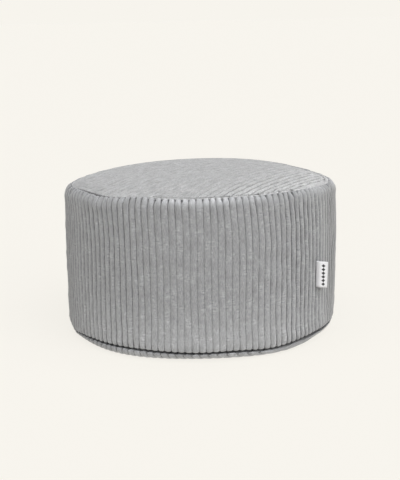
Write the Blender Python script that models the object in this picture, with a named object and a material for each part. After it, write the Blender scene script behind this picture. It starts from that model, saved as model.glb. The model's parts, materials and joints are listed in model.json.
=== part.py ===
# A low round floor pouf in wide-wale corduroy. A side band, a top panel and a base
# panel are sewn edge to edge over a firm filling, and a folded label is caught in the
# band's upright seam. The front faces -Y, +X is on the right, and it stands on z = 0.

from collections import namedtuple
import math

import bmesh
import bpy
from mathutils import Vector

# Driving sizes, in metres
DIAMETER = 0.500  # over the wale crests, where the band is fullest
FOOT_DIAMETER = 0.4955  # the band's line, carried down to the floor
SHOULDER_DIAMETER = 0.4965  # the band's line, carried up to the top seam
TOP_SEAM_HEIGHT = 0.274
TOP_SEAM_DIAMETER = 0.458
SHOULDER_HEIGHT = 0.018  # upright share of the rounded shoulder
CROWN = 0.014  # rise of the middle of the top above its seam
BASE_SEAM_HEIGHT = 0.0175
BASE_SEAM_DIAMETER = 0.4925
CONTACT_DIAMETER = 0.4385  # the flat area that it stands on
SEAM_DIP = 0.0025  # depth of the pinched top seam
BASE_SEAM_TUCK = 0.0040  # how far the base seam is drawn in
PIECE_GAP = 0.0003

# The cloth's raised wales
BAND_WALES = 135
BAND_WALE_DEPTH = 0.0022
SIDE_SEAM_DEPTH = 0.0038
SIDE_SEAM_AZIMUTH = math.radians(54.5)  # from the front towards +X
TOP_WALE_PITCH = 0.0125
TOP_WALE_DEPTH = 0.0018
TOP_WALE_DIRECTION = math.radians(64.0)  # from +X
BASE_WALE_PITCH = 0.0121
BASE_WALE_DEPTH = 0.0018
BASE_WALE_DIRECTION = math.radians(56.0)

# How it has settled in use
SADDLE = 0.0048  # the top seam rides up at front and back, and sinks at the sides
SADDLE_FADE = 4  # power of the height by which the saddle fades down the band
LEAN = 0.0026  # sideways lean of the top over the base
TOP_DRIFT = math.radians(0.6)  # the wales slew to the left as they near the top seam
TOP_DRIFT_AT_SIDES = math.radians(1.4)
TOP_DRIFT_START = 0.200
TOP_DRIFT_END = 0.2625
TOP_DRIFT_CURVE = 1.4
BASE_DRIFT = math.radians(0.2)  # and fan out a little as they near the base seam
BASE_DRIFT_AT_SIDES = math.radians(0.8)
BASE_DRIFT_START = 0.040
BASE_DRIFT_END = 0.018
FOOT_SPREAD = 0.001  # the filling pushes the foot of the base out,
FOOT_RIPPLE = 0.005  # by more and less in turn
FOOT_RIPPLES = 5

# The folded label
LABEL_BOTTOM = 0.1013
LABEL_TOP = 0.1481
LABEL_THICKNESS = 0.0012
LABEL_TUCK = 0.0026  # its root sits this far inside the crests, in the upright seam
LABEL_DROOP = 0.0043  # how far its free edge hangs
LABEL_DROOP_CURVE = 1.5
LABEL_STAND_OFF_TOP = math.radians(25.0)  # angle that the free edge keeps to the band
LABEL_STAND_OFF_BOTTOM = math.radians(10.0)

# A wale's columns: place across one pitch, and share of the groove's depth there
WaleColumn = namedtuple("WaleColumn", "place groove")
WALE_COLUMNS = (
    WaleColumn(0.00, 1.0),
    WaleColumn(0.27, 0.0),
    WaleColumn(0.73, 0.0),
)

# Heights of the band's plain rows, and angles up the rounded shoulder
BAND_ROW_HEIGHTS = (0.040, 0.137, 0.200, 0.256)
SHOULDER_ANGLES = (30.0, 58.0, 76.0)
SHOULDER_GROOVE = 0.85  # share of the grooves' depth left on the shoulder

# Angles round the base panel's rim, from the flat towards the seam
BASE_RIM_ANGLES = (30.0, 52.0, 74.0)

# Rows beside a seam, lowest first: distance inside the seam's own radius, rise above
# its height, and share of the grooves' depth
SeamStep = namedtuple("SeamStep", "inset rise groove")
BAND_FOOT_STEPS = (
    SeamStep(BASE_SEAM_TUCK, -PIECE_GAP, 0.0),
    SeamStep(-0.0010, 0.0025, 0.8),
)
TOP_RIM_STEPS = (
    SeamStep(2 * PIECE_GAP, PIECE_GAP - SEAM_DIP, 0.0),
    SeamStep(0.0022, -0.0002, 0.6),
    SeamStep(0.0065, 0.0012, 1.0),
)
BASE_RIM_STEPS = (
    SeamStep(0.0012, -0.0018, 0.6),
    SeamStep(BASE_SEAM_TUCK, -2 * PIECE_GAP, 0.0),
)

# The tape's run out of the seam: step length, and share of the turn made by then
TapeStep = namedtuple("TapeStep", "length turned")
TAPE_STEPS = (
    TapeStep(0.0030, 0.00),
    TapeStep(0.0030, 0.15),
    TapeStep(0.0030, 0.60),
    TapeStep(0.0040, 0.92),
    TapeStep(0.0050, 1.00),
    TapeStep(0.0060, 1.04),
)
TAPE_ROWS = 4

PANEL_LINE_POINTS = 9  # points along each wale line of the top
PANEL_LINE_REACH = 0.97  # wale lines stop at this share of the disc's radius

# Radius, height and groove share of one row round a piece
Row = namedtuple("Row", "radius height groove")


def clamp(value):
    return max(0.0, min(1.0, value))


def round_point(azimuth, radius, height):
    """A point at an azimuth counted from the front (-Y) towards +X."""
    return Vector((radius * math.sin(azimuth), -radius * math.cos(azimuth), height))


def settled(point):
    """The point after the pouf has leaned and its top has sagged into a saddle."""
    level = min(point.z / TOP_SEAM_HEIGHT, 1.0)
    reach = math.hypot(point.x, point.y) / (DIAMETER / 2)
    turn = math.atan2(point.y, point.x)
    sag = SADDLE * math.cos(2 * turn) * reach * level**SADDLE_FADE
    return Vector((point.x + LEAN * (level - 0.5), point.y, point.z - sag))


def wale_drift(azimuth, height):
    """How far a wale has slewed round the pouf at this height."""
    near_top = clamp((height - TOP_DRIFT_START) / (TOP_DRIFT_END - TOP_DRIFT_START))
    near_base = clamp((BASE_DRIFT_START - height) / (BASE_DRIFT_START - BASE_DRIFT_END))
    top = TOP_DRIFT + TOP_DRIFT_AT_SIDES * math.sin(azimuth) ** 2
    base = BASE_DRIFT + BASE_DRIFT_AT_SIDES * math.sin(azimuth)
    return base * near_base - top * near_top**TOP_DRIFT_CURVE


def band_radius(height):
    """A quadratic through the foot, the fullest height and the shoulder."""
    level = height / TOP_SEAM_HEIGHT
    foot = FOOT_DIAMETER / 2 * (1 - level) * (1 - 2 * level)
    middle = DIAMETER / 2 * 4 * level * (1 - level)
    shoulder = SHOULDER_DIAMETER / 2 * level * (2 * level - 1)
    return foot + middle + shoulder


def seam_rows(diameter, height, steps):
    """Rows beside a seam of this diameter and height."""
    return [Row(diameter / 2 - step.inset, height + step.rise, step.groove) for step in steps]


def band_rows():
    """Rows of the side band from the base seam up to the top seam."""
    rows = seam_rows(BASE_SEAM_DIAMETER, BASE_SEAM_HEIGHT, BAND_FOOT_STEPS)
    for height in BAND_ROW_HEIGHTS:
        rows.append(Row(band_radius(height), height, 1.0))
    reach = SHOULDER_DIAMETER / 2 - TOP_SEAM_DIAMETER / 2
    for angle in SHOULDER_ANGLES:
        drop = SHOULDER_HEIGHT * (1 - math.sin(math.radians(angle)))
        height = TOP_SEAM_HEIGHT - drop
        radius = band_radius(height) - reach * (1 - math.cos(math.radians(angle)))
        rows.append(Row(radius, height, SHOULDER_GROOVE))
    rows.append(Row(TOP_SEAM_DIAMETER / 2, TOP_SEAM_HEIGHT - SEAM_DIP, 0.0))
    return rows


def row_normals(rows):
    """The outward direction (radial, upright) of each row, from its neighbours."""
    normals = []
    for index in range(len(rows)):
        below = rows[max(index - 1, 0)]
        above = rows[min(index + 1, len(rows) - 1)]
        run = above.radius - below.radius
        rise = above.height - below.height
        length = math.hypot(run, rise)
        normals.append((rise / length, -run / length))
    return normals


def add_rings(mesh, rings):
    """Quads between successive rings of points, lowest ring first."""
    made = [[mesh.verts.new(settled(point)) for point in ring] for ring in rings]
    for lower, upper in zip(made, made[1:]):
        count = len(lower)
        for index in range(count):
            after = (index + 1) % count
            mesh.faces.new((lower[index], lower[after], upper[after], upper[index]))
    return made


def add_fan(mesh, ring, centre):
    """Triangles from a ring to a point on the axis."""
    middle = mesh.verts.new(settled(centre))
    for index, vertex in enumerate(ring):
        mesh.faces.new((vertex, ring[(index + 1) % len(ring)], middle))


def cloth_material(name, colour, roughness):
    material = bpy.data.materials.new(name)
    material.use_nodes = True
    shader = material.node_tree.nodes["Principled BSDF"]
    shader.inputs["Base Color"].default_value = (*colour, 1.0)
    shader.inputs["Roughness"].default_value = roughness
    shader.inputs["Metallic"].default_value = 0.0
    material.diffuse_color = (*colour, 1.0)
    return material


def finish_piece(name, mesh, material):
    """Turns the finished bmesh into a smooth-shaded object."""
    bmesh.ops.recalc_face_normals(mesh, faces=mesh.faces)
    data = bpy.data.meshes.new(name)
    mesh.to_mesh(data)
    mesh.free()
    data.shade_smooth()
    data.set_sharp_from_angle(angle=math.radians(55))
    data.materials.append(material)
    piece = bpy.data.objects.new(name, data)
    bpy.context.scene.collection.objects.link(piece)
    return piece


def make_side_band():
    """The filled drum between the two seams, with its upright wales."""
    rows = band_rows()
    normals = row_normals(rows)
    pitch = math.tau / BAND_WALES
    rings = []
    for row, (outward, upward) in zip(rows, normals):
        ring = []
        for wale in range(BAND_WALES):
            for column in WALE_COLUMNS:
                azimuth = SIDE_SEAM_AZIMUTH + (wale + column.place) * pitch
                deepest = SIDE_SEAM_DEPTH if wale == 0 else BAND_WALE_DEPTH
                depth = deepest * column.groove * row.groove
                radius = row.radius - depth * outward
                height = row.height - depth * upward
                drifted = azimuth + wale_drift(azimuth, row.height)
                ring.append(round_point(drifted, radius, height))
        rings.append(ring)
    mesh = bmesh.new()
    made = add_rings(mesh, rings)
    add_fan(mesh, made[0], Vector((0, 0, rows[0].height)))
    add_fan(mesh, made[-1], Vector((0, 0, rows[-1].height)))
    material = cloth_material("corduroy_side", (0.36, 0.36, 0.365), 0.9)
    return finish_piece("side_band", mesh, material)


def wale_lines(pitch, reach):
    """Offsets of a panel's parallel wale columns from its middle, with groove shares."""
    wales = math.ceil(reach / pitch) + 1
    lines = []
    for wale in range(-wales, wales):
        for column in WALE_COLUMNS:
            offset = (wale + column.place) * pitch
            if abs(offset) < reach:
                lines.append((offset, column.groove))
    return lines


def panel_ring(row, normal, lines, direction, depth):
    """A round row of a panel, with a point wherever a wale line crosses it.

    It runs up one side of the lines, across the last line's cap, down the other side
    and across the first line's cap.
    """
    outward, upward = normal
    first = math.asin(lines[0][0] / row.radius)
    last = math.asin(lines[-1][0] / row.radius)
    cap_points = PANEL_LINE_POINTS - 2
    angles = [(math.asin(offset / row.radius), groove) for offset, groove in lines]
    for point in range(1, cap_points + 1):
        share = point / (cap_points + 1)
        angles.append((last + (math.pi - 2 * last) * share, 0.0))
    for offset, groove in reversed(lines):
        angles.append((math.pi - math.asin(offset / row.radius), groove))
    for point in range(1, cap_points + 1):
        share = point / (cap_points + 1)
        angles.append((math.pi - first + (math.pi + 2 * first) * share, 0.0))
    ring = []
    for angle, groove in angles:
        sunk = depth * groove * row.groove
        radius = row.radius - sunk * outward
        turn = direction + angle
        height = row.height - sunk * upward
        ring.append(Vector((radius * math.cos(turn), radius * math.sin(turn), height)))
    return ring


def crown_height(radius, disc):
    """Height of the crowned top at this distance from its middle."""
    rise = CROWN - (disc.height - TOP_SEAM_HEIGHT)
    return disc.height + rise * (1 - (radius / disc.radius) ** 2)


def make_top_panel():
    """The crowned top, with wales running one way across it."""
    rows = seam_rows(TOP_SEAM_DIAMETER, TOP_SEAM_HEIGHT, TOP_RIM_STEPS)
    disc = rows[-1]
    lines = wale_lines(TOP_WALE_PITCH, PANEL_LINE_REACH * disc.radius)
    normals = row_normals(rows)
    rings = []
    for row, normal in zip(rows, normals):
        rings.append(panel_ring(row, normal, lines, TOP_WALE_DIRECTION, TOP_WALE_DEPTH))
    mesh = bmesh.new()
    made = add_rings(mesh, rings)
    add_fan(mesh, made[0], Vector((0, 0, rows[0].height)))

    # Rows of points across the disc, one for each wale line, between two caps
    rim = made[-1]
    count = len(lines)
    caps = PANEL_LINE_POINTS - 2
    high_cap = rim[count : count + caps]
    far_ends = rim[count + caps : 2 * count + caps]
    low_cap = rim[2 * count + caps :]
    across = Vector((-math.sin(TOP_WALE_DIRECTION), math.cos(TOP_WALE_DIRECTION), 0))
    along = Vector((math.cos(TOP_WALE_DIRECTION), math.sin(TOP_WALE_DIRECTION), 0))
    grid = [[rim[0], *reversed(low_cap), far_ends[-1]]]
    for index, (offset, groove) in enumerate(lines):
        half = math.sqrt(disc.radius**2 - offset**2)
        line = [rim[index]]
        for point in range(1, PANEL_LINE_POINTS - 1):
            reach = half * (1 - 2 * point / (PANEL_LINE_POINTS - 1))
            place = across * offset + along * reach
            place.z = crown_height(place.length, disc) - TOP_WALE_DEPTH * groove
            line.append(mesh.verts.new(settled(place)))
        line.append(far_ends[count - 1 - index])
        grid.append(line)
    grid.append([rim[count - 1], *high_cap, far_ends[0]])
    for row, after in zip(grid, grid[1:]):
        for index in range(PANEL_LINE_POINTS - 1):
            corners = [row[index], row[index + 1], after[index + 1], after[index]]
            mesh.faces.new(list(dict.fromkeys(corners)))
    material = cloth_material("corduroy_top", (0.42, 0.42, 0.425), 0.9)
    return finish_piece("top_panel", mesh, material)


def base_rows():
    """Rows of the base panel from the flat it stands on up to the base seam."""
    contact = CONTACT_DIAMETER / 2
    seam = BASE_SEAM_DIAMETER / 2
    rows = [Row(contact, 0.0, 1.0)]
    for angle in BASE_RIM_ANGLES:
        radius = contact + (seam - contact) * math.sin(math.radians(angle))
        height = BASE_SEAM_HEIGHT * (1 - math.cos(math.radians(angle)))
        rows.append(Row(radius, height, 1.0))
    return rows + seam_rows(BASE_SEAM_DIAMETER, BASE_SEAM_HEIGHT, BASE_RIM_STEPS)


def spread_foot(point):
    """Moves a point of the base outwards, most of all where it meets the floor."""
    azimuth = math.atan2(point.x, -point.y)
    near_floor = 1 - point.z / BASE_SEAM_HEIGHT
    extra = (FOOT_SPREAD - FOOT_RIPPLE * math.cos(FOOT_RIPPLES * azimuth)) * near_floor
    radius = math.hypot(point.x, point.y)
    return round_point(azimuth, radius + extra, point.z)


def make_bottom_panel():
    """The base, flat where it stands, with wales that show round its rim."""
    rows = base_rows()
    normals = row_normals(rows)
    normals[0] = (1.0, 0.0)  # the flat stays flat, and only its edge is scalloped
    reach = PANEL_LINE_REACH * CONTACT_DIAMETER / 2
    lines = wale_lines(BASE_WALE_PITCH, reach)
    rings = []
    for row, normal in zip(rows, normals):
        ring = panel_ring(row, normal, lines, BASE_WALE_DIRECTION, BASE_WALE_DEPTH)
        rings.append([spread_foot(point) for point in ring])
    mesh = bmesh.new()
    made = add_rings(mesh, rings)
    add_fan(mesh, made[0], Vector((0, 0, 0)))
    add_fan(mesh, made[-1], Vector((0, 0, rows[-1].height)))
    material = cloth_material("corduroy_base", (0.36, 0.36, 0.365), 0.9)
    return finish_piece("bottom_panel", mesh, material)


def tape_section(level):
    """The label's outline seen from above, at a share of its height.

    The tape leaves the seam straight outwards and bends over towards +X. The points
    run out along one side and back along the other.
    """
    outward = Vector((math.sin(SIDE_SEAM_AZIMUTH), -math.cos(SIDE_SEAM_AZIMUTH), 0))
    tangent = Vector((math.cos(SIDE_SEAM_AZIMUTH), math.sin(SIDE_SEAM_AZIMUTH), 0))
    off_top = LABEL_STAND_OFF_TOP * level
    stand_off = off_top + LABEL_STAND_OFF_BOTTOM * (1 - level)
    height = LABEL_BOTTOM + (LABEL_TOP - LABEL_BOTTOM) * level
    whole = sum(step.length for step in TAPE_STEPS)
    place = outward * (band_radius(height) - LABEL_TUCK)
    gone = 0.0
    near = []
    far = []
    for index in range(len(TAPE_STEPS) + 1):
        step = TAPE_STEPS[min(index, len(TAPE_STEPS) - 1)]
        turn = step.turned * (math.pi / 2 - stand_off)
        heading = outward * math.cos(turn) + tangent * math.sin(turn)
        side = Vector((0, 0, 1)).cross(heading) * LABEL_THICKNESS / 2
        droop = LABEL_DROOP * (gone / whole) ** LABEL_DROOP_CURVE
        drop = Vector((0, 0, height - droop))
        near.append(place + side + drop)
        far.append(place - side + drop)
        place = place + heading * step.length
        gone += step.length
    return near, far


def make_label():
    """The folded tape, one solid of both its layers."""
    mesh = bmesh.new()
    sections = []
    for row in range(TAPE_ROWS):
        near, far = tape_section(row / (TAPE_ROWS - 1))
        near = [mesh.verts.new(settled(point)) for point in near]
        far = [mesh.verts.new(settled(point)) for point in far]
        sections.append((near, far))
    for lower, upper in zip(sections, sections[1:]):
        low_loop = lower[0] + lower[1][::-1]
        high_loop = upper[0] + upper[1][::-1]
        for index in range(len(low_loop)):
            after = (index + 1) % len(low_loop)
            corners = (low_loop[index], low_loop[after], high_loop[after], high_loop[index])
            mesh.faces.new(corners)
    for near, far in (sections[0], sections[-1]):
        for index in range(len(near) - 1):
            mesh.faces.new((near[index], near[index + 1], far[index + 1], far[index]))
    material = cloth_material("woven_label", (0.82, 0.82, 0.83), 0.7)
    return finish_piece("label", mesh, material)


def main():
    for old in list(bpy.data.objects):
        bpy.data.objects.remove(old)
    make_side_band()
    make_top_panel()
    make_bottom_panel()
    make_label()


main()
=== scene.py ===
# Looks of a round corduroy pouf: side band, top, base and a folded label.
# Metres throughout. The front faces -Y, +X is on the right, and the floor is z = 0.

import json
import math

import bmesh
import bpy
import numpy as np
from mathutils import Matrix, Vector

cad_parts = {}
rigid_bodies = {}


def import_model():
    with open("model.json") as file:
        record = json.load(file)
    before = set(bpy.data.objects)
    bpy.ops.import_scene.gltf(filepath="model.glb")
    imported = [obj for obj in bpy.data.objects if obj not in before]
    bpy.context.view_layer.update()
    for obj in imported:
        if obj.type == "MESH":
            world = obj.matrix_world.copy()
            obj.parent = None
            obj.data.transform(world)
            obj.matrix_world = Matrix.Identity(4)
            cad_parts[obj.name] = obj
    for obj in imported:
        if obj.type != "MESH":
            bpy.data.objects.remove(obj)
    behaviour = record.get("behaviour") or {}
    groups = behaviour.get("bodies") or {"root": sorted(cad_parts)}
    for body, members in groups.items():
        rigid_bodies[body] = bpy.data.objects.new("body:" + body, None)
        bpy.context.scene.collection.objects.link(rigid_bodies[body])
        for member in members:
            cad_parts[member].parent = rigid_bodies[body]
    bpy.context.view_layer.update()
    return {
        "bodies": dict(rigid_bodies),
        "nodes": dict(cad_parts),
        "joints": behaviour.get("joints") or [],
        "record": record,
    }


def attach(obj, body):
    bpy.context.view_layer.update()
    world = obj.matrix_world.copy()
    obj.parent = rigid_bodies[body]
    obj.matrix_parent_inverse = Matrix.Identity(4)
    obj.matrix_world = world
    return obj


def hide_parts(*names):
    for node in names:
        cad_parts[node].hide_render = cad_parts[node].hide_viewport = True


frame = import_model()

# ---- camera

viewpoint = {
    "place": (0.0, -2.0, 0.5965),
    "pitchDown": 12.38,  # degrees below level
    "yaw": 0.034,
    "roll": -1.15,
    "lens": 82.2,  # mm, across the 36 mm of the picture's long side
}


def addObject(name, data):
    added = bpy.data.objects.new(name, data)
    bpy.context.scene.collection.objects.link(added)
    return added


def placeCamera(settings):
    camera = addObject("studioCamera", bpy.data.cameras.new("studioCamera"))
    camera.data.lens = settings["lens"]
    camera.data.sensor_width = 36.0
    camera.data.clip_end = 100.0
    aim = Matrix.Rotation(math.radians(settings["yaw"]), 4, "Z")
    aim = aim @ Matrix.Rotation(math.radians(90.0 - settings["pitchDown"]), 4, "X")
    aim = aim @ Matrix.Rotation(math.radians(settings["roll"]), 4, "Z")
    camera.matrix_world = Matrix.Translation(settings["place"]) @ aim
    bpy.context.scene.camera = camera


placeCamera(viewpoint)
print("camera placed")

# ---- the pouf's line, the same sizes as its solids

pouf = {
    "diameter": 0.499,  # over the wale crests, where the band is fullest
    "footDiameter": 0.4955,
    "shoulderDiameter": 0.4965,
    "topSeamHeight": 0.274,
    "topSeamDiameter": 0.471,
    "shoulderHeight": 0.018,
    "crown": 0.014,
    "baseSeamHeight": 0.0175,
    "baseSeamDiameter": 0.4925,
    "contactDiameter": 0.4385,  # the flat that it stands on
    "saddle": 0.0048,  # the top seam rides up at front and back
    "saddleFade": 4,
    "lean": 0.0026,
}

seams = {  # smooth dips along the two seams: degrees from the front, depth and half width
    "topDips": (
        (-62.0, -0.0058, 17.0), (-41.0, 0.0008, 8.0), (-26.0, -0.0026, 8.5), (-4.0, 0.0010, 9.0),
        (50.0, -0.0038, 27.0), (118.0, 0.0030, 22.0), (180.0, 0.0018, 50.0), (-115.0, 0.0018, 25.0),
        (155.0, -0.0016, 32.0),
    ),
    "baseDips": ((30.0, 0.0052, 13.0), (-3.0, 0.0015, 10.0), (-82.0, 0.0100, 15.0), (150.0, 0.0035, 30.0)),
    "topShowsAt": -47.0,  # where the top seam lies open
    "topShowsSpread": 20.0,
    "topShowsElsewhere": 0.06,
    "baseShows": (  # degrees from the front, and how far the base seam gapes there
        (-180, 0.5), (-100, 0.1), (-66, 0.1), (-58, 0.35), (-40, 0.5), (-15, 0.75),
        (50, 0.85), (120, 0.8), (180, 0.5),
    ),
    "tuckFrom": 0.0050,  # the dip past which the foot draws in, and how much it does
    "tuckShare": 1.1,
}

drift = {  # how the upright wales slew near the seams, in degrees
    "top": 0.6,
    "topAtSides": 1.4,
    "topStart": 0.200,
    "topEnd": 0.2625,
    "topCurve": 1.4,
    "base": 0.2,
    "baseAtSides": 0.8,
    "baseStart": 0.060,
    "baseEnd": 0.018,
    "wander": 0.10,  # small wandering along each wale
    "waves": ((5, 31, 0.0, 1.0), (11, -23, 1.7, 1.0), (23, 47, 0.6, 0.7)),  # turns, per metre, phase, share
}


def smoothStep(value, low, high):
    share = np.clip((value - low) / (high - low), 0.0, 1.0)
    return share * share * (3 - 2 * share)


def within(value, edges):
    # 1 between the middle two of four edges, 0 beyond the outer two
    return smoothStep(value, *edges[:2]) * (1 - smoothStep(value, *edges[2:]))


def bandRadius(height):
    level = height / pouf["topSeamHeight"]
    foot = pouf["footDiameter"] / 2 * (1 - level) * (1 - 2 * level)
    middle = pouf["diameter"] / 2 * 4 * level * (1 - level)
    shoulder = pouf["shoulderDiameter"] / 2 * level * (2 * level - 1)
    return foot + middle + shoulder


def settled(points):
    # The top leans a little, and sags into a saddle
    x, y, z = points.T
    level = np.minimum(z / pouf["topSeamHeight"], 1.0)
    reach = np.hypot(x, y) / (pouf["diameter"] / 2)
    sag = pouf["saddle"] * np.cos(2 * np.arctan2(y, x)) * reach
    sag *= np.maximum(level, 0.0) ** pouf["saddleFade"]
    return np.stack((x + pouf["lean"] * (level - 0.5), y, z - sag), axis=1)


def dipAt(azimuth, dips):
    degrees = np.degrees(azimuth)
    total = np.zeros_like(degrees)
    for place, depth, spread in dips:
        away = (degrees - place + 180) % 360 - 180
        total += depth * np.exp(-(away / spread) ** 2)
    return total


def topSeamOpen(azimuth):
    # 1 where the top seam lies open, small where its two lips meet
    away = (np.degrees(azimuth) - seams["topShowsAt"] + 180) % 360 - 180
    return np.maximum(np.exp(-(away / seams["topShowsSpread"]) ** 2), seams["topShowsElsewhere"])


def baseSeamOpen(azimuth):
    # How far the base seam gapes, by degrees from the front
    degrees = (np.degrees(azimuth) + 180) % 360 - 180
    return np.interp(degrees, *zip(*seams["baseShows"]))


def footTuck(azimuth):
    # How far the foot draws in where the base seam dips most
    return seams["tuckShare"] * np.maximum(dipAt(azimuth, seams["baseDips"]) - seams["tuckFrom"], 0)


def waleDrift(azimuth, height):
    nearTop = np.clip((height - drift["topStart"]) / (drift["topEnd"] - drift["topStart"]), 0, 1)
    nearBase = smoothStep(drift["baseStart"] - height, 0.0, drift["baseStart"] - drift["baseEnd"])
    top = drift["top"] + drift["topAtSides"] * np.sin(azimuth) ** 2
    base = drift["base"] + drift["baseAtSides"] * np.sin(azimuth)
    wander = 0
    for turns, rise, phase, share in drift["waves"]:
        wander += share * np.sin(turns * azimuth + rise * height + phase)
    turned = base * nearBase - top * nearTop ** drift["topCurve"] + drift["wander"] * wander
    return np.radians(turned)


# ---- small makers

def addNode(tree, kind, settings=None, inputs=None):
    # One node, with its settings, and its inputs as values or as links
    node = tree.nodes.new(kind)
    for name, value in (settings or {}).items():
        setattr(node, name, value)
    for socket, source in (inputs or {}).items():
        if isinstance(source, bpy.types.Node):
            source = source.outputs[0]
        if isinstance(source, bpy.types.NodeSocket):
            tree.links.new(source, node.inputs[socket])
        else:
            node.inputs[socket].default_value = source
    return node


def newMaterial(name):
    material = bpy.data.materials.new(name)
    material.use_nodes = True
    return material, material.node_tree, material.node_tree.nodes["Principled BSDF"]


def linearColour(code):
    # An sRGB hex colour as linear RGBA
    parts = [int(code[place:place + 2], 16) / 255 for place in (1, 3, 5)]
    linear = [part / 12.92 if part <= 0.04045 else ((part + 0.055) / 1.055) ** 2.4 for part in parts]
    return (*linear, 1.0)


def makePiece(name, points, faces, cornerRun, attributes):
    # A smooth mesh with its cloth map (metres across and along the wales) and attributes
    mesh = bpy.data.meshes.new(name)
    mesh.from_pydata(points.tolist(), [], faces)
    clothMap = mesh.uv_layers.new(name="clothRun")
    clothMap.data.foreach_set("uv", np.asarray(cornerRun, dtype=np.float32).ravel())
    for attribute, values in attributes.items():
        layer = mesh.attributes.new(attribute, "FLOAT", "POINT")
        layer.data.foreach_set("value", np.asarray(values, dtype=np.float32))
    mesh.shade_smooth()
    return addObject(name, mesh)


def closeWithFan(faces, ring, centre, facingUp):
    # Triangles from a ring of point numbers to one point
    for place, corner in enumerate(ring):
        after = ring[(place + 1) % len(ring)]
        faces.append((corner, after, centre) if facingUp else (after, corner, centre))


def joinRings(faces, rings, size):
    # Quads between rings of points that follow each other
    for low in range(0, (rings - 1) * size, size):
        for place in range(size):
            after = (place + 1) % size
            faces.append((low + place, low + after, low + size + after, low + size + place))


def cornersOf(cloth, faces):
    # The cloth's run at each corner of each face
    return cloth[np.concatenate([np.array(face) for face in faces])]


def clothValues(wale, share, along, paintedTone, centres):
    # What the wale tree and the material read, with the painted light and shade, and the fans' centre points
    # left bare
    bare = (0.0,) * centres
    return {
        "wale": np.append(wale, (0.5,) * centres),
        "grooveShare": np.append(share, bare),
        "along": np.append(along, bare),
        "paintedLightShade": np.append(paintedTone, bare),
    }


def facePiecesOut(piece):
    # Turns every face outwards
    mesh = bmesh.new()
    mesh.from_mesh(piece.data)
    bmesh.ops.recalc_face_normals(mesh, faces=mesh.faces)
    mesh.to_mesh(piece.data)
    mesh.free()


def takePlainMesh(piece):
    # The modifiers' result, as the piece's own mesh
    graph = bpy.context.evaluated_depsgraph_get()
    made = bpy.data.meshes.new_from_object(
        piece.evaluated_get(graph), preserve_all_data_layers=True, depsgraph=graph
    )
    old = piece.data
    piece.modifiers.clear()
    piece.data = made
    bpy.data.meshes.remove(old)
    made.name = piece.name


# ---- the raised wales

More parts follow.
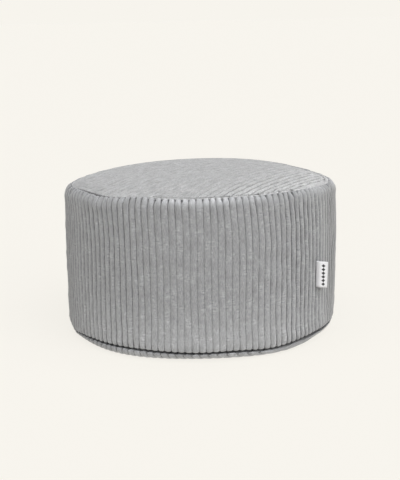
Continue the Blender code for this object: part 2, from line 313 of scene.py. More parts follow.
def buildWaleTree():
    # Sinks the grooves between the wales of a smooth piece, and keeps how high the pile stands
    tree = bpy.data.node_groups.new("raiseWales", "GeometryNodeTree")
    sockets = (
        ("Geometry", "NodeSocketGeometry", None),
        ("Groove Depth", "NodeSocketFloat", 0.0022),
        ("Wale Fullness", "NodeSocketFloat", 2.6),
        ("Lump Height", "NodeSocketFloat", 0.0003),
        ("Lump Length", "NodeSocketFloat", 0.030),
        ("Uneven Depth", "NodeSocketFloat", 0.25),
        ("Seed", "NodeSocketInt", 1),
        ("Cloth", "NodeSocketMaterial", None),
    )
    for name, kind, value in sockets:
        socket = tree.interface.new_socket(name, in_out="INPUT", socket_type=kind)
        if value is not None:
            socket.default_value = value
    tree.interface.new_socket("Geometry", in_out="OUTPUT", socket_type="NodeSocketGeometry")
    given = addNode(tree, "NodeGroupInput").outputs
    known = {name: given[name] for name, kind, value in sockets if kind == "NodeSocketFloat"}
    for name in ("wale", "grooveShare", "along"):
        known[name] = addNode(tree, "GeometryNodeInputNamedAttribute", {"data_type": "FLOAT"}, {"Name": name})

    # Each groove and each wale differs a little, and varies along its run
    groove = addNode(tree, "ShaderNodeMath", {"operation": "ROUND"}, {0: known["wale"]})
    middle = addNode(tree, "ShaderNodeMath", {"operation": "FLOOR"}, {0: known["wale"]})
    step = addNode(tree, "ShaderNodeMath", {"operation": "DIVIDE"},
                   {0: known["along"], 1: given["Lump Length"]})
    byGroove = addNode(tree, "ShaderNodeCombineXYZ", None, {"X": groove, "Y": step})
    byWale = addNode(tree, "ShaderNodeCombineXYZ", None, {"X": middle, "Y": step, "Z": 7.5})
    for name, place in (("grooveNoise", byGroove), ("waleNoise", byWale)):
        known[name] = addNode(tree, "ShaderNodeTexNoise", {"noise_dimensions": "4D"},
                              {"Vector": place, "W": given["Seed"], "Scale": 1.37, "Detail": 1.0})

    # Each step: its name, its operation, and numbers or the names of earlier results
    for name, operation, *sources in (
        # Across one wale, from 0 in the groove to 1 on the crest, as a full rounded section
        ("fromGroove", "PINGPONG", "wale", 0.5),
        ("toCrest", "MULTIPLY_ADD", "fromGroove", -2.0, 1.0),
        ("fall", "POWER", "toCrest", "Wale Fullness"),
        ("left", "SUBTRACT", 1.0, "fall"),
        ("root", "DIVIDE", 1.0, "Wale Fullness"),
        ("rise", "POWER", "left", "root"),
        ("sunk", "SUBTRACT", 1.0, "rise"),
        # How deep the groove sinks
        ("spread", "MULTIPLY_ADD", "grooveNoise", 2.0, -1.0),
        ("uneven", "MULTIPLY_ADD", "spread", "Uneven Depth", 1.0),
        ("deep", "MULTIPLY", "uneven", "Groove Depth"),
        ("shared", "MULTIPLY", "deep", "grooveShare"),
        ("drop", "MULTIPLY", "shared", "sunk"),
        # How far the wale swells
        ("lump", "MULTIPLY_ADD", "waleNoise", 2.0, -1.0),
        ("risen", "MULTIPLY", "lump", "rise"),
        ("held", "MULTIPLY", "risen", "grooveShare"),
        ("swell", "MULTIPLY", "held", "Lump Height"),
        ("out", "SUBTRACT", "swell", "drop"),
        # The pile's height, for the material: 1 on the crest, 0 on the ground weave
        ("bare", "MULTIPLY", "sunk", "grooveShare"),
        ("pile", "SUBTRACT", 1.0, "bare"),
    ):
        settings = {"operation": operation, "use_clamp": name in ("toCrest", "left")}
        inputs = {place: known.get(part, part) for place, part in enumerate(sources)}
        known[name] = addNode(tree, "ShaderNodeMath", settings, inputs)

    offset = addNode(tree, "ShaderNodeVectorMath", {"operation": "SCALE"},
                     {"Vector": addNode(tree, "GeometryNodeInputNormal"), "Scale": known["out"]})
    kept = addNode(tree, "GeometryNodeStoreNamedAttribute", {"data_type": "FLOAT", "domain": "POINT"},
                   {"Geometry": given["Geometry"], "Name": "pile", "Value": known["pile"]})
    moved = addNode(tree, "GeometryNodeSetPosition", None, {"Geometry": kept, "Offset": offset})
    whole = addNode(tree, "GeometryNodeRealizeInstances", None, {"Geometry": moved})
    dressed = addNode(tree, "GeometryNodeSetMaterial", None,
                      {"Geometry": whole, "Material": given["Cloth"]})
    addNode(tree, "NodeGroupOutput", None, {"Geometry": dressed})
    return tree


waleTree = buildWaleTree()


def raiseWales(piece, values):
    # Runs the tree on a smooth piece, and keeps the result as its mesh
    modifier = piece.modifiers.new("wales", "NODES")
    modifier.node_group = waleTree
    for socket in waleTree.interface.items_tree:
        if socket.in_out == "INPUT" and socket.name in values:
            modifier[socket.identifier] = values[socket.name]
    takePlainMesh(piece)


# ---- corduroy: cotton pile woven over a plain ground, brushed and washed

def makeCorduroy(name, finish):
    # Cut pile scatters light, so it is matt and soft; the ground between the wales is darker, partly its own
    # bare weave and partly painted shade in the grooves
    material, tree, shader = newMaterial(name)
    clothMap = addNode(tree, "ShaderNodeUVMap", {"uv_map": "clothRun"})
    pile = addNode(tree, "ShaderNodeAttribute", {"attribute_name": "pile"}).outputs["Fac"]
    paintedLightShade = addNode(tree, "ShaderNodeAttribute", {"attribute_name": "paintedLightShade"}).outputs["Fac"]

    # Tufts: real ones are about 0.2 mm, drawn 1.4 mm across and 7 mm long so that they show.
    # Nap: brushed patches, where it lies another way. Press: short ripples across the wales, in patches.
    # The sizes of both are chosen.
    noises = {}
    for kind, detail in (
        ("tuft", {"Detail": 3.0, "Roughness": 0.6}),
        ("nap", {"Detail": 2.5, "Roughness": 0.55}),
        ("press", {"Detail": 1.0}),
    ):
        grid = addNode(tree, "ShaderNodeVectorMath", {"operation": "MULTIPLY"},
                       {0: clothMap, 1: (1 / finish[kind + "Across"], 1 / finish[kind + "Along"], 1.0)})
        noises[kind] = addNode(tree, "ShaderNodeTexNoise", None, {"Vector": grid, "Scale": 1.0, **detail})

    ground = addNode(tree, "ShaderNodeMix", {"data_type": "RGBA"},
                     {6: linearColour(finish["groove"]), 7: linearColour(finish["pile"])})
    edge = addNode(tree, "ShaderNodeMapRange", {"interpolation_type": "SMOOTHSTEP"},
                   {"Value": pile, "From Min": finish["grooveFrom"], "From Max": finish["grooveTo"]})
    tree.links.new(edge.outputs[0], ground.inputs[0])
    shades = []
    for kind in ("tuft", "nap"):
        contrast = finish[kind + "Contrast"]
        shades.append(addNode(tree, "ShaderNodeMapRange", None,
                              {"Value": noises[kind], "From Min": 0.3, "From Max": 0.7,
                               "To Min": 1 - contrast, "To Max": 1 + contrast}))
    ripples = addNode(tree, "ShaderNodeMath", {"operation": "SUBTRACT"}, {0: noises["press"], 1: 0.5})
    pressed = addNode(tree, "ShaderNodeMapRange", {"interpolation_type": "SMOOTHSTEP"},
                      {"Value": noises["nap"], "From Min": 0.49, "From Max": 0.62,
                       "To Max": finish["pressContrast"]})
    # Painted light and shade from the pieces' attribute lightens or darkens the colour, as do the press
    # ripples
    for share, amount in ((ripples, pressed), (paintedLightShade, finish["paintedToneStrength"])):
        shades.append(addNode(tree, "ShaderNodeMath", {"operation": "MULTIPLY_ADD"},
                              {0: share, 1: amount, 2: 1.0}))
    shade = shades[0]
    for other in shades[1:]:
        shade = addNode(tree, "ShaderNodeMath", {"operation": "MULTIPLY"}, {0: shade, 1: other})
    colour = addNode(tree, "ShaderNodeVectorMath", {"operation": "SCALE"},
                     {"Vector": ground.outputs[2], "Scale": shade})
    tree.links.new(colour.outputs[0], shader.inputs["Base Color"])

    bump = addNode(tree, "ShaderNodeBump", None,
                   {"Height": noises["tuft"], "Strength": finish["tuftBump"], "Distance": 0.0006})
    tree.links.new(bump.outputs[0], shader.inputs["Normal"])
    shader.inputs["Roughness"].default_value = 0.95
    shader.inputs["Specular IOR Level"].default_value = 0.15
    shader.inputs["Sheen Weight"].default_value = finish["sheen"]
    shader.inputs["Sheen Roughness"].default_value = 0.55
    return material


# ---- the filling's push on the cover

softness = {
    "columns": 160,
    "bandRows": 22,
    "topRings": 11,
    "pressure": 4.0,
    "slack": 0.02,  # the cloth is cut this share larger than the line it covers
    "uneven": 0.0005,
    "seed": 5,
    "frames": 20,
    "most": 0.0020,  # metres
    "uprightSeam": 54.5,  # degrees from the front, where it is sewn flat
    "underRings": (0.25, 0.5, 0.75, 1.0),
    "shoulderAngles": (35.0, 65.0),
    "topMiddle": 0.02,
}


def pushedCover():
    # A coarse closed cover, held at its seams and base and blown up: where it moves from its even line
    columns = softness["columns"]
    contact = pouf["contactDiameter"] / 2
    topRadius = pouf["topSeamDiameter"] / 2
    under = [(contact * share, 0.0) for share in softness["underRings"]]
    under += [(pouf["baseSeamDiameter"] / 2, pouf["baseSeamHeight"])]
    shoulder = pouf["topSeamHeight"] - pouf["shoulderHeight"]
    heights = np.linspace(pouf["baseSeamHeight"], shoulder, softness["bandRows"])[1:]
    side = [(bandRadius(height), height) for height in heights]
    reach = pouf["shoulderDiameter"] / 2 - topRadius
    for angle in np.radians(softness["shoulderAngles"]):
        height = shoulder + pouf["shoulderHeight"] * math.sin(angle)
        side.append((bandRadius(height) - reach * (1 - math.cos(angle)), height))
    topRadii = np.linspace(topRadius, softness["topMiddle"], softness["topRings"])
    crowned = pouf["topSeamHeight"] + pouf["crown"] * (1 - (topRadii / topRadius) ** 2)
    rows = np.array(under + side + list(zip(topRadii, crowned)))

    turn = np.arange(columns) * math.tau / columns
    random = np.random.default_rng(softness["seed"])
    free = np.ones((len(rows), columns))
    free[:len(under)] = 0
    free[len(under) + len(side)] = 0
    free[:len(under) + len(side), round(softness["uprightSeam"] / 360 * columns)] = 0
    radius = rows[:, :1] + random.normal(0, softness["uneven"], free.shape) * free
    level = np.broadcast_to(rows[:, 1:], free.shape)
    start = np.stack((radius * np.sin(turn), -radius * np.cos(turn), level), axis=2)
    points = np.concatenate((start.reshape(-1, 3), [[0, 0, 0.0], [0, 0, crowned[-1]]]))
    faces = []
    joinRings(faces, len(rows), columns)
    last = (len(rows) - 1) * columns
    closeWithFan(faces, range(columns), len(points) - 2, False)
    closeWithFan(faces, range(last, last + columns), len(points) - 1, True)

    mesh = bpy.data.meshes.new("cover")
    mesh.from_pydata(points.tolist(), [], faces)
    cover = addObject("cover", mesh)
    held = cover.vertex_groups.new(name="held")
    pinned = np.append(np.flatnonzero(free.ravel() == 0), len(points) - 2)
    held.add([int(point) for point in pinned], 1.0, "REPLACE")
    cloth = cover.modifiers.new("filling", "CLOTH")
    cloth.settings.quality = 6
    cloth.settings.bending_stiffness = 1.0
    cloth.settings.use_pressure = True
    cloth.settings.uniform_pressure_force = softness["pressure"]
    cloth.settings.shrink_min = -softness["slack"]
    cloth.settings.vertex_group_mass = "held"
    cloth.settings.effector_weights.gravity = 0.0
    cloth.point_cache.frame_end = softness["frames"]
    for frame in range(1, softness["frames"] + 1):
        bpy.context.scene.frame_set(frame)
    ended = cover.evaluated_get(bpy.context.evaluated_depsgraph_get()).data
    spots = np.empty(3 * len(points))
    ended.vertices.foreach_get("co", spots)
    spots = spots.reshape(-1, 3)[:-2].reshape(start.shape)
    bpy.context.scene.frame_set(1)
    bpy.data.objects.remove(cover)
    bpy.data.meshes.remove(mesh)

    out = np.hypot(spots[..., 0], spots[..., 1]) - rows[:, :1]
    up = spots[..., 2] - rows[:, 1:]
    most = softness["most"]
    loose = free.mean(axis=1, keepdims=True) > 0
    out, up = (most * np.tanh((part - part.mean(axis=1, keepdims=True)) * loose / most) for part in (out, up))
    first, last = len(under) - 1, len(under) + len(side)
    return {
        "bandHeights": rows[first:last + 1, 1],
        "bandOut": out[first:last + 1],
        "bandUp": up[first:last + 1],
        "topRadii": topRadii[::-1],
        "topUp": up[last:][::-1],
    }


def fromGrid(grid, level, azimuth):
    # Reads a grid of rows by turns between its points
    spot = azimuth / math.tau % 1.0 * grid.shape[1]
    left = np.floor(spot).astype(int) % grid.shape[1]
    right = (left + 1) % grid.shape[1]
    low = np.clip(np.floor(level).astype(int), 0, len(grid) - 2)
    across = spot - np.floor(spot)
    rise = level - low
    lower = grid[low, left] * (1 - across) + grid[low, right] * across
    upper = grid[low + 1, left] * (1 - across) + grid[low + 1, right] * across
    return lower * (1 - rise) + upper * rise


def bandPush(azimuth, height):
    if push is None:
        return 0.0, 0.0
    level = np.interp(height, push["bandHeights"], np.arange(len(push["bandHeights"])))
    return fromGrid(push["bandOut"], level, azimuth), fromGrid(push["bandUp"], level, azimuth)


def topPush(azimuth, radius):
    if push is None:
        return 0.0
    level = np.interp(radius, push["topRadii"], np.arange(len(push["topRadii"])))
    return fromGrid(push["topUp"], level, azimuth)


# ---- side band

# The mesh's lines across one wale
waleColumns = (0.0, 0.022, 0.06, 0.12, 0.21, 0.345, 0.5, 0.655, 0.79, 0.88, 0.94, 0.978)
allRound = (-2.0, -1.0, 190.0, 200.0)  # edges that take in every direction

band = {
    "wales": 135,
    "seamAzimuth": 54.5,  # degrees from the front towards +X, where wale 0 starts
    "columns": waleColumns,
    "footRows": (  # (outwards, upwards) from the base seam, from inside it round its lip
        (-0.0140, 0.0002), (-0.0080, 0.0006), (-0.0044, 0.0008), (-0.0022, 0.0012),
        (-0.0006, 0.0021), (0.0006, 0.0034), (0.0012, 0.0052),
    ),
    "plainRows": 35,
    "plainFrom": 0.0258,
    "shoulderAngles": (0.0, 12.0, 24.0, 35.0, 46.0, 56.0, 65.0, 73.0, 80.0, 86.0),
    "seamRows": ((0.0010, -0.0004), (0.0003, -0.0024), (0.0001, -0.0052)),
    "pillow": 0.0020,  # how proud the rounded wale ends stand by the top seam
    "lipDrop": 0.0047,  # how deep the band's edge sinks where that seam lies open
    "tooth": 0.0026,  # how far each wale's end stands up in that opening
    "seamPinch": 0.0016,  # extra depth of the upright seam
    "prouderBeforeSeam": 1.3,  # share of the depth gained beside the upright seam
    "flatterAfterSeam": 0.72,  # and lost just past it
    "flatterInFront": 0.42,  # and across the front, where the cloth is pulled tightest
    "frontAzimuth": -4.0,
    "frontSpread": 30.0,
    "endHighlightAzimuth": 3.0,  # painted highlight on the wale ends in front
    "endHighlightSpread": 27.0,
    "endHighlightInFront": 4.2,
    "endToneElsewhere": -0.3,
    "hem": (0.0185, 0.0200, 0.021, 0.032),  # heights where the grooves deepen again
    "hemDeeper": 0.6,
    # Changes round the band: amount, side, degrees from the front on it, shares below and above the heights
    "depthChanges": (
        (0.30, "left", (0.0, 25.0, 110.0, 165.0), 1.0, 1.0, (0.250, 0.265)),
        (-0.85, "either", (85.0, 110.0, 190.0, 200.0), 0.0, 1.0, (0.245, 0.268)),
        (-0.22, "either", allRound, 0.0, 1.0, (0.250, 0.268)),
        (-0.30, "left", (25.0, 45.0, 95.0, 130.0), 0.0, 1.0, (0.225, 0.262)),
        (-0.60, "right", (38.0, 60.0, 100.0, 165.0), 0.0, 1.0, (0.260, 0.272)),
    ),
    # Painted light and shade: lighter towards the foot, darker at the far left and the far right. Fitted to
    # the greys seen from the front
    "paintedToneChanges": (
        (-1.8, "left", (54.0, 76.0, 110.0, 165.0), 1.0, 1.3, (0.250, 0.265)),
        (1.3, "either", allRound, 1.0, 0.0, (0.022, 0.12)),
        (-1.04, "either", (40.0, 70.0, 190.0, 200.0), 1.0, 0.0, (0.022, 0.12)),
        (-0.30, "left", (30.0, 65.0, 110.0, 165.0), 1.0, 1.0, (0.250, 0.265)),
        (-2.3, "right", (56.0, 74.0, 100.0, 165.0), 1.0, 0.5, (0.256, 0.272)),
        (-1.6, "right", (64.0, 76.0, 100.0, 165.0), 1.0, 0.5, (0.256, 0.272)),
    ),
    "paintedHighlightOnShoulder": (1.6, 62.0, 14.0),  # painted highlight on the shoulder at the right: how strong, where and how wide
    "paintedLightOnBandLip": (1.3, 1.8),  # painted light on the lip behind: its tone, and what its edge adds
    # Painted shade inside the two seams, and painted highlights on the wale ends in the open top seam
    "paintedShadeInBaseSeam": 2.6,
    "paintedShadeInTopSeam": 3.0,
    "paintedHighlightOnEnds": 2.4,
}

bandWales = {
    "Groove Depth": 0.0046,
    "Wale Fullness": 2.4,
    "Lump Height": 0.00035,
    "Lump Length": 0.028,
    "Uneven Depth": 0.30,
    "Seed": 11,
}

bandFinish = {
    # The groove colour: the bare ground weave, darkened partly as painted shade in the grooves
    "groove": "#565657",
    "pile": "#97989a",
    "grooveFrom": 0.0,
    "grooveTo": 0.62,
    "tuftAcross": 0.0014,
    "tuftAlong": 0.0070,
    "tuftContrast": 0.21,
    "tuftBump": 0.45,
    "napAcross": 0.011,
    "napAlong": 0.026,
    "napContrast": 0.13,
    "pressAcross": 0.010,
    "pressAlong": 0.0030,
    "pressContrast": 1.0,
    # How strongly the painted light and shade lightens or darkens the cloth
    "paintedToneStrength": 0.16,
    "sheen": 0.55,
}


def bandProfile():
    # (radius, height) up the band from its base seam to its top seam
    rows = []
    seam = pouf["baseSeamDiameter"] / 2
    for inset, rise in band["footRows"]:
        rows.append((seam + inset, pouf["baseSeamHeight"] + rise))
    top = pouf["topSeamHeight"] - pouf["shoulderHeight"]
    for height in np.linspace(band["plainFrom"], top, band["plainRows"], endpoint=False):
        rows.append((bandRadius(height), height))
    reach = pouf["shoulderDiameter"] / 2 - pouf["topSeamDiameter"] / 2
    for angle in np.radians(band["shoulderAngles"]):
        height = pouf["topSeamHeight"] - pouf["shoulderHeight"] * (1 - math.sin(angle))
        rows.append((bandRadius(height) - reach * (1 - math.cos(angle)), height))
    for inset, rise in band["seamRows"]:
        rows.append((pouf["topSeamDiameter"] / 2 + inset, pouf["topSeamHeight"] + rise))
    return np.array(rows)


def changesAt(changes, fromFront, height):
    # Each row of a table of changes, worked out at these points
    sides = {"left": -fromFront, "right": fromFront, "either": np.abs(fromFront)}
    for amount, side, edges, below, above, heights in changes:
        yield amount * within(sides[side], edges) * (below + (above - below) * smoothStep(height, *heights))


def makeBand():
    rows = bandProfile()
    columns = len(band["columns"])
    count = band["wales"] * columns
    wale = np.repeat(np.arange(band["wales"]), columns) + np.tile(band["columns"], band["wales"])
    azimuth = np.radians(band["seamAzimuth"]) + wale * math.tau / band["wales"]
    run = np.concatenate(([0.0], np.cumsum(np.hypot(*np.diff(rows, axis=0).T))))
    radius, height = (np.repeat(rows[:, k], count) for k in (0, 1))
    azimuth = np.tile(azimuth, len(rows))
    wales = np.tile(wale, len(rows))
    along = np.repeat(run, count)

    lip = (height < pouf["topSeamHeight"]) & (along > run[-3] - 0.0005) & (along < run[-1])
    sunk = pouf["topSeamHeight"] - height
    height = np.where(lip, pouf["topSeamHeight"] - sunk * topSeamOpen(azimuth), height)
    gape = height - pouf["baseSeamHeight"]
    height -= (1 - baseSeamOpen(azimuth)) * gape * (1 - smoothStep(gape, 0.0016, 0.0070))

    # Grooves run out inside the two seams, and lie flatter where the cloth is pulled tight
    share = smoothStep(along, 0.004, 0.012) * (1 - 0.5 * smoothStep(along, run[-1] - 0.004, run[-1]))
    past = np.degrees(azimuth) - band["seamAzimuth"]
    flat = within(past, (1.0, 6.0, 30.0, 50.0))
    proud = np.exp(-((past + 8.0) / 11.0) ** 2) + np.exp(-((past - 352.0) / 11.0) ** 2)
    proud *= 1 - 0.7 * smoothStep(height, 0.240, 0.265)
    share = share * (1 - band["flatterAfterSeam"] * flat) * (1 + band["prouderBeforeSeam"] * proud)
    share *= 1 + band["hemDeeper"] * within(height, band["hem"])
    fromFront = (past + band["seamAzimuth"] - band["frontAzimuth"] + 180) % 360 - 180
    below = 1 - smoothStep(height, 0.235, 0.262)
    share *= 1 - band["flatterInFront"] * below * np.exp(-(fromFront / band["frontSpread"]) ** 2)
    for change in changesAt(band["depthChanges"], fromFront, height):
        share *= 1 + change
    out, up = bandPush(azimuth, height)
    pinch = np.exp(-(np.minimum(past, 360 - past) / 0.9) ** 2) * band["seamPinch"]
    pinch *= 1 - smoothStep(height, 0.240, 0.262)
    radius = radius + out - pinch * smoothStep(height, 0.02, 0.04)

    # Painted highlight on the wale ends in front, and the table's painted light and shade
    fromSeam = run[-1] - along
    fromEndHighlight = fromFront + band["frontAzimuth"] - band["endHighlightAzimuth"]
    inFront = np.exp(-(fromEndHighlight / band["endHighlightSpread"]) ** 2)
    paintedTone = within(fromSeam, (0.004, 0.007, 0.012, 0.024))
    paintedTone *= band["endHighlightInFront"] * inFront + band["endToneElsewhere"]
    paintedTone += sum(changesAt(band["paintedToneChanges"], fromFront, height))
    # Painted highlight on the shoulder at the right
    pale, place, spread = band["paintedHighlightOnShoulder"]
    paintedTone += pale * np.exp(-((fromFront - place) / spread) ** 2) * smoothStep(height, 0.262, 0.2725)
    # Painted light on the lip behind
    behind = smoothStep(np.abs(fromFront), 70.0, 95.0) * smoothStep(height, 0.258, 0.270)
    tone, edge = band["paintedLightOnBandLip"]
    paintedTone = paintedTone * (1 - behind) + (tone + edge * smoothStep(along, run[-4], run[-3])) * behind
    # Painted shade inside both seams; painted highlights on the wale ends standing in the open one, with
    # painted shade between them
    paintedTone -= band["paintedShadeInBaseSeam"] * (1 - smoothStep(along, 0.008, 0.0135))
    rounded = 1 - (2 * np.abs(wales % 1 - 0.5)) ** 2
    gaping = topSeamOpen(azimuth)
    paintedTone -= band["paintedShadeInTopSeam"] * gaping * (1 - smoothStep(fromSeam, 0.0030, 0.0055))
    ends = within(fromSeam, (0.0045, 0.0065, 0.009, 0.014))
    paintedTone += gaping * band["paintedHighlightOnEnds"] * (rounded - 0.5) * ends

    # The wale ends stand proud of the top seam, or up in it where it lies open
    turned = azimuth + waleDrift(azimuth, height)
    ahead = 1 - smoothStep(np.abs(fromFront), 60.0, 95.0)
    tip = within(fromSeam, (0.0042, 0.0080, 0.012, 0.028))
    height += band["pillow"] * tip * rounded * ahead * (1 - gaping)
    height -= band["lipDrop"] * gaping * ahead * (1 - smoothStep(fromSeam, 0.005, 0.013))
    standing = within(fromSeam, (0.0040, 0.0060, 0.008, 0.014))
    height += band["tooth"] * gaping * ahead * rounded * standing
    height -= dipAt(azimuth, seams["topDips"]) * smoothStep(height, 0.225, 0.270)
    low = 1 - smoothStep(height, 0.019, 0.070)
    radius -= footTuck(azimuth) * (1 - smoothStep(height, 0.014, 0.032))
    height -= dipAt(azimuth, seams["baseDips"]) * low
    points = np.stack((radius * np.sin(turned), -radius * np.cos(turned), height + up), axis=1)

    faces = []
    corners = []
    joinRings(faces, len(rows), count)
    spots = np.append(wales[:count], band["wales"]) * math.pi * pouf["diameter"] / band["wales"]
    left, right = spots[:-1], spots[1:]
    for row in range(len(rows) - 1):
        low = np.full(count, run[row])
        high = np.full(count, run[row + 1])
        quad = np.stack((left, low, right, low, right, high, left, high), axis=1)
        corners.append(quad.reshape(-1, 2))
    last = (len(rows) - 1) * count
    centres = np.array([[0, 0, rows[0, 1]], [0, 0, rows[-1, 1]]])
    closeWithFan(faces, range(count), len(points), False)
    closeWithFan(faces, range(last, last + count), len(points) + 1, True)
    corners.append(np.zeros((6 * count, 2)))
    points = settled(np.concatenate((points, centres)))
    values = clothValues(wales, share, along, paintedTone, 2)
    piece = makePiece("pouf_side", points, faces, np.concatenate(corners), values)
    raiseWales(piece, {**bandWales, "Cloth": makeCorduroy("corduroySide", bandFinish)})
    return piece


# ---- top and base panels

topPanel = {
    "pitch": 0.0125,
    "direction": 64.0,  # degrees from +X
    "bend": 0.25,  # curve of the wales, per metre
    "columns": waleColumns,
    "linePoints": 47,
    "lineReach": 0.985,
    "rimRows": (  # (inwards, upwards) from the top seam
        (0.0004, -0.0052), (0.0005, -0.0030), (0.0012, -0.0016),
        (0.0026, -0.0006), (0.0046, 0.0004), (0.0070, 0.0012),
    ),
    "softShare": 0.72,  # how much of the wales' depth shows where the nap is brushed over them
    "crispFrom": 0.07,  # metres from the middle towards the front right, where they grow crisp
    "crispTo": 0.20,
    "crispShare": 3.7,
    "dipsFrom": 0.170,  # the radius from which it follows the seam's dips
    "runOut": (0.012, 0.014),  # the wales fade out over this in front, and this much more behind
    "runOutTurn": (66.0, 96.0),
    "plainFrom": 0.962,  # share of the disc, across the wales, where the grooves stop
    # Painted light and shade, fitted to the greys seen from the front like the band's
    "paintedCrispHighlight": 1.8,
    "paintedLightToRight": 0.3,
    "paintedLightOnTopLip": 1.8,
    "paintedShadeInSeam": 3.0,
    "shadedTips": ((84.0, 22.0, 0.5, 0.016), (-76.0, 22.0, 1.1, 0.050)),  # painted shade: where, spread, how dark, reach
}

topWales = {**bandWales, "Groove Depth": 0.0024, "Wale Fullness": 2.3, "Uneven Depth": 0.35, "Seed": 23}

topFinish = {
    **bandFinish,
    "groove": "#7e7e7d",
    "pile": "#a5a5a5",
    "tuftContrast": 0.40,
    "napContrast": 0.22,
    "pressContrast": 0.3,
    # How strongly the painted light and shade lightens or darkens the cloth
    "paintedToneStrength": 0.19,
}

basePanel = {
    "pitch": 0.0121,
    "direction": 56.0,
    "bend": 0.0,
    "columns": (0.0, 0.03, 0.09, 0.20, 0.36, 0.5, 0.64, 0.80, 0.91, 0.97),
    "linePoints": 25,
    "lineReach": 0.985,
    "rimAngles": (14.0, 27.0, 39.0, 50.0, 60.0, 69.0),
    "seamRows": (  # (outwards, upwards) from the base seam, over the rim and down inside it
        (-0.0004, -0.0040), (-0.0012, -0.0029), (-0.0026, -0.0029),
        (-0.0050, -0.0037), (-0.0090, -0.0034), (-0.0140, -0.0006),
    ),
    "footSpread": 0.0035,
    "footRipple": 0.005,
    "footRipples": 5,
    "footPull": (0.0032, 56.0, 9.0),  # one deeper pull: how far, where and how wide
    "closedBelow": 0.0006,  # under the seam, where its lips meet
    # Tone, with painted shade on the rim's two sides and inside the seam, fitted to the greys seen from the
    # front like the band's
    "plainTone": 0.6,
    "shadedRight": 2.0,
    "shadedLeft": 1.2,
    "paintedShadeInSeam": 2.6,
}

baseWales = {
    **bandWales,
    "Groove Depth": 0.0030,
    "Wale Fullness": 2.2,
    "Lump Height": 0.0,
    "Lump Length": 0.020,
    "Seed": 37,
}

# The base's grooves are painted darker than the band's, as painted shade
baseFinish = {**bandFinish, "groove": "#3c3c3d"}


def panelGrid(panel, disc, rimRows):
    # Plan of a round panel whose points follow its wales.
    # Gives (offset, along) for each point, faces, and the rings from the disc's edge outwards
    pitch = panel["pitch"]
    wales = math.ceil(disc / pitch) + 1
    offsets = [
        (wale + place) * pitch
        for wale in range(-wales, wales)
        for place in panel["columns"]
        if abs(wale + place) * pitch < panel["lineReach"] * disc
    ]
    offsets = np.array(offsets)
    count = len(offsets)
    caps = panel["linePoints"] - 2
    share = np.arange(1, caps + 1) / (caps + 1)

    def ringAt(radius):
        half = np.sqrt(radius**2 - offsets**2)
        bent = offsets - panel["bend"] / 2 * half**2
        turn = np.arcsin(np.clip(bent / radius, -1, 1))
        first, last = turn[0], turn[-1]
        high = last + (math.pi - 2 * last) * share
        low = math.pi - first + (math.pi + 2 * first) * share
        angles = np.concatenate((turn, high, math.pi - turn[::-1], low))
        bendBack = panel["bend"] / 2 * (radius * np.cos(angles)) ** 2
        trueOffset = radius * np.sin(angles) + bendBack
        trueOffset[:count] = offsets
        trueOffset[count + caps:2 * count + caps] = offsets[::-1]
        return angles, trueOffset

    plan = []
    wale = []
    ringOf = []
    faces = []
    rings = []
    for index, radius in enumerate(rimRows):
        angles, trueOffset = ringAt(radius)
        rings.append(list(range(len(plan), len(plan) + len(angles))))
        for angle, offset in zip(angles, trueOffset):
            plan.append((radius * math.sin(angle), radius * math.cos(angle)))
            wale.append(offset / pitch)
            ringOf.append(index)
    for inner, outer in zip(rings, rings[1:]):
        for place in range(len(inner)):
            after = (place + 1) % len(inner)
            faces.append((inner[place], outer[place], outer[after], inner[after]))
    rim = rings[0]
    highCap = rim[count:count + caps]
    farEnds = rim[count + caps:2 * count + caps]
    lowCap = rim[2 * count + caps:]
    grid = [[rim[0], *reversed(lowCap), farEnds[-1]]]
    for index, offset in enumerate(offsets):
        half = math.sqrt(rimRows[0]**2 - offset**2)
        line = [rim[index]]
        for point in range(1, panel["linePoints"] - 1):
            reach = half * math.cos(math.pi * point / (panel["linePoints"] - 1))
            line.append(len(plan))
            plan.append((offset - panel["bend"] / 2 * reach**2, reach))
            wale.append(offset / pitch)
            ringOf.append(-1)
        line.append(farEnds[count - 1 - index])
        grid.append(line)
    grid.append([rim[count - 1], *highCap, farEnds[0]])
    for row, after in zip(grid, grid[1:]):
        for index in range(panel["linePoints"] - 1):
            corners = [row[index], row[index + 1], after[index + 1], after[index]]
            faces.append(tuple(dict.fromkeys(corners)))
    return np.array(plan), np.array(wale), np.array(ringOf), faces, rings


def turnedPlan(plan, panel):
    # (across, along) to (x, y) for the panel's direction
    angle = math.radians(panel["direction"])
    across, along = plan.T
    x = -math.sin(angle) * across + math.cos(angle) * along
    y = math.cos(angle) * across + math.sin(angle) * along
    return x, y


def finishPanel(name, panel, plan, grid, tones, middleHeight):
    # Closes the inner ring, and turns the panel's values into its piece
    points, wale, faces, rings = grid
    share, paintedTone = tones
    closeWithFan(faces, rings[-1], len(points), True)
    points = settled(np.concatenate((points, [[0, 0, middleHeight]])))
    along = plan[:, 1]
    cloth = np.concatenate((np.stack((wale * panel["pitch"], along), axis=1), [[0, 0]]))
    values = clothValues(wale, share, along, paintedTone, 1)
    piece = makePiece(name, points, faces, cornersOf(cloth, faces), values)
    facePiecesOut(piece)
    return piece


